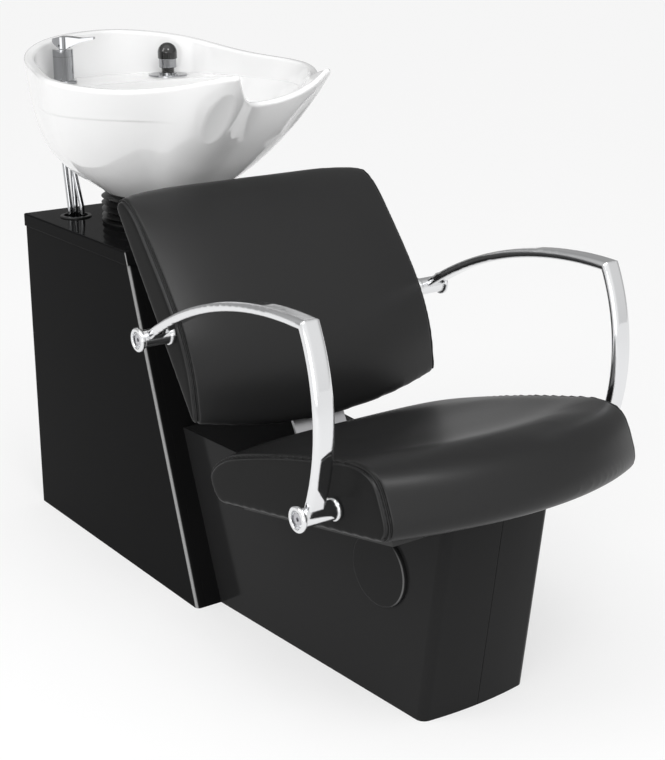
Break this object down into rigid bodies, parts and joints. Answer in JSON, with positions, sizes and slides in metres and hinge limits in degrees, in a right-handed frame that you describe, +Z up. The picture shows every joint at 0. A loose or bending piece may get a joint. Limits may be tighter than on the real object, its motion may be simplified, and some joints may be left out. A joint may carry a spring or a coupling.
{
  "type": "backwash unit",
  "caption": "Salon backwash unit: reclined armchair on a plinth, with a tilting ceramic hair basin on a cabinet behind it, a lever tap and a pull-out hand spray.",
  "frame": {"origin": "on the floor, on the middle plane, half way along the footprint, under the steel frame's middle cross member", "axes": "+Z up; the sitter faces -Y; -X is the sitter's right"},
  "size_m": [0.624, 1.318, 0.9423],
  "materials": {
    "cabinet_lacquer": "gloss",
    "plinth_black": "gloss",
    "vinyl_black": "satin",
    "chrome": "polished",
    "hose_steel": "satin",
    "bolt_steel": "satin",
    "strap_steel": "satin",
    "frame_paint": "satin",
    "ply": "matte",
    "rubber_black": "satin",
    "waste_grey": "satin",
    "brass": "satin",
    "ceramic_white": "gloss",
    "spray_black": "gloss"
  },
  "bodies": {
    "base": {"cabinet_side_right": "cabinet_lacquer", "cabinet_side_left": "cabinet_lacquer", "cabinet_front_panel": "cabinet_lacquer", "access_panel": "cabinet_lacquer", "panel_screws": "bolt_steel", "cabinet_lid": "cabinet_lacquer", "hose_grommet_right": "rubber_black", "hose_grommet_left": "rubber_black", "plinth_half_right": "plinth_black", "plinth_half_left": "plinth_black", "plinth_deck": "plinth_black", "side_cap_right": "plinth_black", "side_cap_left": "plinth_black", "steel_frame": "frame_paint", "basin_stand": "frame_paint", "tilt_pins": "bolt_steel", "bellows": "rubber_black", "seat_cushion": "vinyl_black", "seat_board": "ply", "seat_rails": "frame_paint", "backrest_cushion": "vinyl_black", "back_board": "ply", "back_strap": "strap_steel", "armrest_right": "chrome", "armrest_left": "chrome", "arm_sleeves_right": "chrome", "arm_sleeves_left": "chrome", "arm_bolts": "bolt_steel", "waste_hose": "waste_grey", "waste_pipe": "waste_grey", "waste_clip": "frame_paint", "inlet_bracket": "frame_paint", "inlet_unions": "brass", "supply_hose_hot": "hose_steel", "supply_hose_cold": "hose_steel", "spray_hose": "hose_steel"},
    "basin": {"basin": "ceramic_white", "tilt_bracket": "frame_paint", "drain_cup": "chrome", "drain_nut": "waste_grey", "drain_tail": "waste_grey", "tap_ring": "chrome", "tap_body": "chrome", "tap_nut": "brass", "spray_plate": "chrome", "plate_screw": "chrome", "spray_nut": "brass"},
    "strainer": {"hair_strainer": "chrome"},
    "tap_cap": {"tap_cap": "chrome", "lever_pin": "chrome"},
    "tap_lever": {"tap_lever": "chrome"},
    "spray": {"spray_handle": "spray_black", "spray_collar": "chrome", "spray_dome": "spray_black"}
  },
  "joints": [
    {"name": "basin_tilt", "type": "hinge", "parent": "base", "child": "basin", "pos_m": [0, 0.385, 0.632], "axis": [-1, 0, 0], "range_deg": [-4, 14], "deforming": ["bellows", "waste_hose", "supply_hose_hot", "supply_hose_cold", "spray_hose"]},
    {"name": "tap_swivel", "type": "hinge", "parent": "basin", "child": "tap_cap", "pos_m": [-0.12, 0.498, 0.9], "axis": [0, 0, 1], "range_deg": [-45, 45]},
    {"name": "tap_lift", "type": "hinge", "parent": "tap_cap", "child": "tap_lever", "pos_m": [-0.12, 0.498, 0.9273], "axis": [-0.7071, -0.7071, 0], "range_deg": [0, 25]},
    {"name": "spray_lift", "type": "slide", "parent": "basin", "child": "spray", "axis": [0, 0, 1], "range_m": [0, 0.08], "deforming": ["spray_hose"]},
    {"name": "strainer_lift", "type": "slide", "parent": "basin", "child": "strainer", "axis": [0, 0, 1], "range_m": [0, 0.04]}
  ]
}
